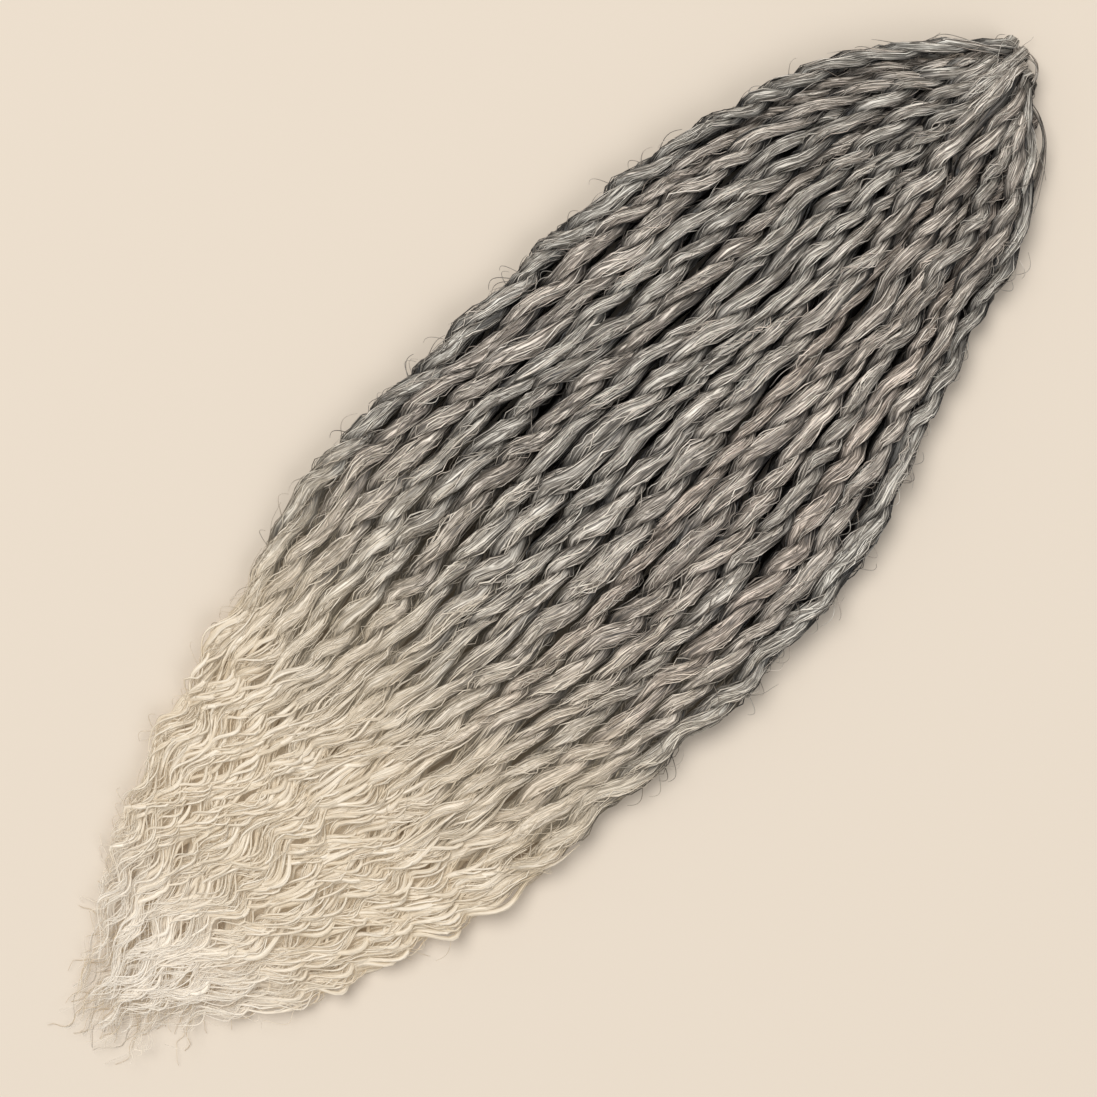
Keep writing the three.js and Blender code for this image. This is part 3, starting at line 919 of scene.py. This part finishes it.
# %% Group: fade to the tips
FADE_START = 22 * MM
FADE_END = -168 * MM
PALER_START = -196 * MM
PALER_END = -268 * MM
MEAN_LEAD = 78 * MM  # of lock, streak and noise together
SOONER = 0.4  # lead for each unit to the right
SOONER_FROM = 30 * MM  # from the middle


def fade_group():
    inputs = (("Lock", "NodeSocketFloat"), ("Streak", "NodeSocketFloat"))
    group, inside, outside = new_group("fade_to_tips", inputs, ("Tip", "End"))
    place = node_at(group, "ShaderNodeTexCoord", -900, 300)
    apart = node_at(group, "ShaderNodeSeparateXYZ", -700, 300)
    group.links.new(place.outputs["Object"], apart.inputs[0])
    noise = node_at(group, "ShaderNodeTexNoise", -700, 500)
    noise.inputs["Scale"].default_value = 22.0
    group.links.new(place.outputs["Object"], noise.inputs["Vector"])
    patch = calculate(group, "MULTIPLY", -500, 500, noise.outputs[0], 0.07)
    own = calculate(group, "MULTIPLY", -500, 0, inside.outputs["Lock"], 0.05)
    fibre = calculate(group, "MULTIPLY", -500, -200, inside.outputs["Streak"], 0.035)
    leads = calculate(group, "ADD", -300, 100, own, fibre)
    leads = calculate(group, "ADD", -150, 200, leads, patch)
    beyond = calculate(group, "MULTIPLY_ADD", -300, 400, apart.outputs["Y"], -SOONER, -SOONER * SOONER_FROM)
    beyond = calculate(group, "MAXIMUM", -150, 400, beyond, 0.0)
    leads = calculate(group, "ADD", 0, 150, leads, beyond)
    there = calculate(group, "SUBTRACT", 0, 300, apart.outputs["X"], leads)
    mask = node_at(group, "ShaderNodeMapRange", 200, 200, interpolation_type="SMOOTHSTEP")
    mask.inputs["From Min"].default_value = FADE_START - MEAN_LEAD
    mask.inputs["From Max"].default_value = FADE_END - MEAN_LEAD
    group.links.new(there, mask.inputs["Value"])
    group.links.new(mask.outputs[0], outside.inputs["Tip"])
    paler = node_at(group, "ShaderNodeMapRange", 200, -100, interpolation_type="SMOOTHSTEP")
    paler.inputs["From Min"].default_value = PALER_START
    paler.inputs["From Max"].default_value = PALER_END
    group.links.new(apart.outputs["X"], paler.inputs["Value"])
    group.links.new(paler.outputs[0], outside.inputs["End"])
    return group


fade_to_tips = fade_group()
print("group:", fade_to_tips.name)

# %% Hair material
HEAD_TONES = ((0.1, (0.012, 0.01, 0.0085)), (0.5, (0.236, 0.207, 0.173)), (0.95, (0.93, 0.87, 0.78)))
TIP_TONES = ((0.1, (0.47, 0.38, 0.265)), (0.5, (0.6, 0.515, 0.4)), (0.95, (0.7, 0.63, 0.53)))
GLOW = (0.48, 0.4, 0.29, 1)  # painted light: a glow for light that has come through pale fibre
GLOW_AT_END = (1.0, 0.94, 0.86, 1)  # painted light, brighter where the fibre is thinnest
GLOW_STRENGTH = 0.3
ROUGHNESS = 0.38  # of the grey
DULLER = 0.24  # is the blonde
RIDGE = 0.25 * MM  # height of a fibre in the finish
COOL = (0.97, 1.0, 1.01, 1)
WARM = (1.08, 0.99, 0.95, 1)


def hair_material():
    material = bpy.data.materials.new("hair_fibre")
    material.use_nodes = True
    tree = material.node_tree
    shader = tree.nodes["Principled BSDF"]
    shader.inputs["Specular IOR Level"].default_value = 0.5
    own_map = node_at(tree, "ShaderNodeUVMap", -1500, 0, uv_map="fibre")
    lock = node_at(tree, "ShaderNodeAttribute", -1500, -300, attribute_name="lock")
    values = node_at(tree, "ShaderNodeSeparateColor", -1300, -300)
    tree.links.new(lock.outputs["Color"], values.inputs[0])
    light, warm, depth = values.outputs

    streaks = node_at(tree, "ShaderNodeGroup", -1050, 0, node_tree=fibre_streaks)
    tree.links.new(own_map.outputs[0], streaks.inputs["Map"])
    tree.links.new(light, streaks.inputs["Lock"])
    fine, broad = streaks.outputs
    fade = node_at(tree, "ShaderNodeGroup", -1050, 300, node_tree=fade_to_tips)
    tree.links.new(light, fade.inputs["Lock"])
    tree.links.new(fine, fade.inputs["Streak"])

    own = calculate(tree, "MULTIPLY", -850, -100, light, 0.4)
    tone = calculate(tree, "MULTIPLY_ADD", -700, -100, fine, 0.5, own)
    tone = calculate(tree, "MULTIPLY_ADD", -550, -100, broad, 0.22, tone)
    tip_tone = calculate(tree, "MULTIPLY_ADD", -700, -200, fine, 0.3, own)
    tip_tone = calculate(tree, "MULTIPLY_ADD", -550, -150, broad, 0.42, tip_tone)
    paler = calculate(tree, "MULTIPLY_ADD", -550, -200, fade.outputs["End"], 0.2, tip_tone)
    head = ramp(tree, -350, 200, tone, HEAD_TONES)
    tip = ramp(tree, -350, -50, paler, TIP_TONES)
    tint = mix_colours(tree, -550, -300, warm, COOL, WARM)
    head = mix_colours(tree, -150, 200, 1.0, head, tint, blend="MULTIPLY")
    # Painted shade: the head colour goes nearly black where the fibre lies between the layers or low in a
    # cleft.
    painted_shade = mix_colours(tree, -350, -300, depth, (0.02, 0.017, 0.015, 1), (1.0, 1.0, 1.0, 1))
    head = mix_colours(tree, 0, 200, 1.0, head, painted_shade, blend="MULTIPLY")
    # Painted shade in the blonde: a warm tan instead of black.
    tip_painted_shade = mix_colours(tree, -350, -450, depth, (0.92, 0.86, 0.76, 1), (1.0, 1.0, 1.0, 1))
    tip = mix_colours(tree, 0, -100, 1.0, tip, tip_painted_shade, blend="MULTIPLY")
    # Painted shade also holds back the change to blonde, so the clefts stay dark further into the fade.
    hidden = calculate(tree, "SUBTRACT", -350, 400, 1.0, depth)
    later = calculate(tree, "MULTIPLY_ADD", -200, 400, hidden, 3.0, 1.0)
    share = calculate(tree, "POWER", -50, 400, fade.outputs["Tip"], later)
    colour = mix_colours(tree, 150, 100, share, head, tip)
    tree.links.new(colour, shader.inputs["Base Color"])
    # Painted light: a faint warm glow on the blonde, stronger on the open fibre at the ends.
    through = mix_colours(tree, 150, -300, fade.outputs["Tip"], (0.0, 0.0, 0.0, 1), GLOW)
    dense_end = calculate(tree, "MULTIPLY", 150, -500, fade.outputs["End"], depth)
    through = mix_colours(tree, 300, -300, dense_end, through, GLOW_AT_END)
    tree.links.new(through, shader.inputs["Emission Color"])
    matt = calculate(tree, "MULTIPLY_ADD", 300, -150, fade.outputs["Tip"], DULLER, ROUGHNESS)
    tree.links.new(matt, shader.inputs["Roughness"])
    shader.inputs["Emission Strength"].default_value = GLOW_STRENGTH

    bump = node_at(tree, "ShaderNodeBump", -150, -600)
    bump.inputs["Strength"].default_value = 0.7
    bump.inputs["Distance"].default_value = RIDGE
    tree.links.new(fine, bump.inputs["Height"])
    tree.links.new(bump.outputs[0], shader.inputs["Normal"])
    return material


hair_fibre = hair_material()
for piece in twists + loose_pieces:
    piece.data.materials.append(hair_fibre)
print("material:", hair_fibre.name)

# %% [markdown]
# ## The tie thread
# The thread runs through the eye of every fold. The folds lean over a little, so the thread is laid again
# through their eyes, as thick as its solid. Its finish is dark spun cotton, with fine slanting ridges.

# %% Lay and finish the thread
THREAD_RADIUS = 1.0 * MM
EYE_BACK = 4 * MM  # from the middle of a fold to its eye
eyes = np.array([(s.middle[:, s.fold_start] + s.middle[:, s.fold_end]) / 2 for s in strands])
eyes[:, 0] -= EYE_BACK
steps = np.linspace(0.3, len(eyes) - 1.3, 60)
thread_path = np.stack([np.interp(steps, np.arange(len(eyes)), eyes[:, axis]) for axis in range(3)], axis=1)
thread_size = np.full((1, len(steps)), THREAD_RADIUS)
plain = np.zeros(1)
thread = joined("thread_in_folds", [tubes(thread_path[None], thread_size, 6, plain, plain, thread_size)])
spun = bpy.data.materials.new("spun_thread")
spun.use_nodes = True
spun_shader = spun.node_tree.nodes["Principled BSDF"]
spun_shader.inputs["Roughness"].default_value = 0.85
spun_place = node_at(spun.node_tree, "ShaderNodeTexCoord", -900, 0)
spun_ridges = node_at(spun.node_tree, "ShaderNodeTexWave", -700, 0, bands_direction="DIAGONAL")
spun_ridges.inputs["Scale"].default_value = 900
spun.node_tree.links.new(spun_place.outputs["Object"], spun_ridges.inputs["Vector"])
spun_colour = mix_colours(
    spun.node_tree, -400, 100, spun_ridges.outputs["Fac"], (0.012, 0.01, 0.009, 1), (0.045, 0.038, 0.034, 1)
)
spun.node_tree.links.new(spun_colour, spun_shader.inputs["Base Color"])
spun_bump = node_at(spun.node_tree, "ShaderNodeBump", -400, -200)
spun_bump.inputs["Distance"].default_value = 0.2 * MM
spun.node_tree.links.new(spun_ridges.outputs["Fac"], spun_bump.inputs["Height"])
spun.node_tree.links.new(spun_bump.outputs[0], spun_shader.inputs["Normal"])
thread.data.materials.append(spun)
print("thread:", triangles(thread), "triangles, finish:", spun.name)

# %% [markdown]
# ## Riding on the body
# Every piece rides on the one body. The twists and the thread stand in for their solids, which are hidden.

# %% Ride and replace
for twist, name in zip(twists, strand_names):
    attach(twist, "root")
    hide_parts(name)
for piece in loose_pieces:
    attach(piece, "root")
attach(thread, "root")
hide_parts("tie_thread")
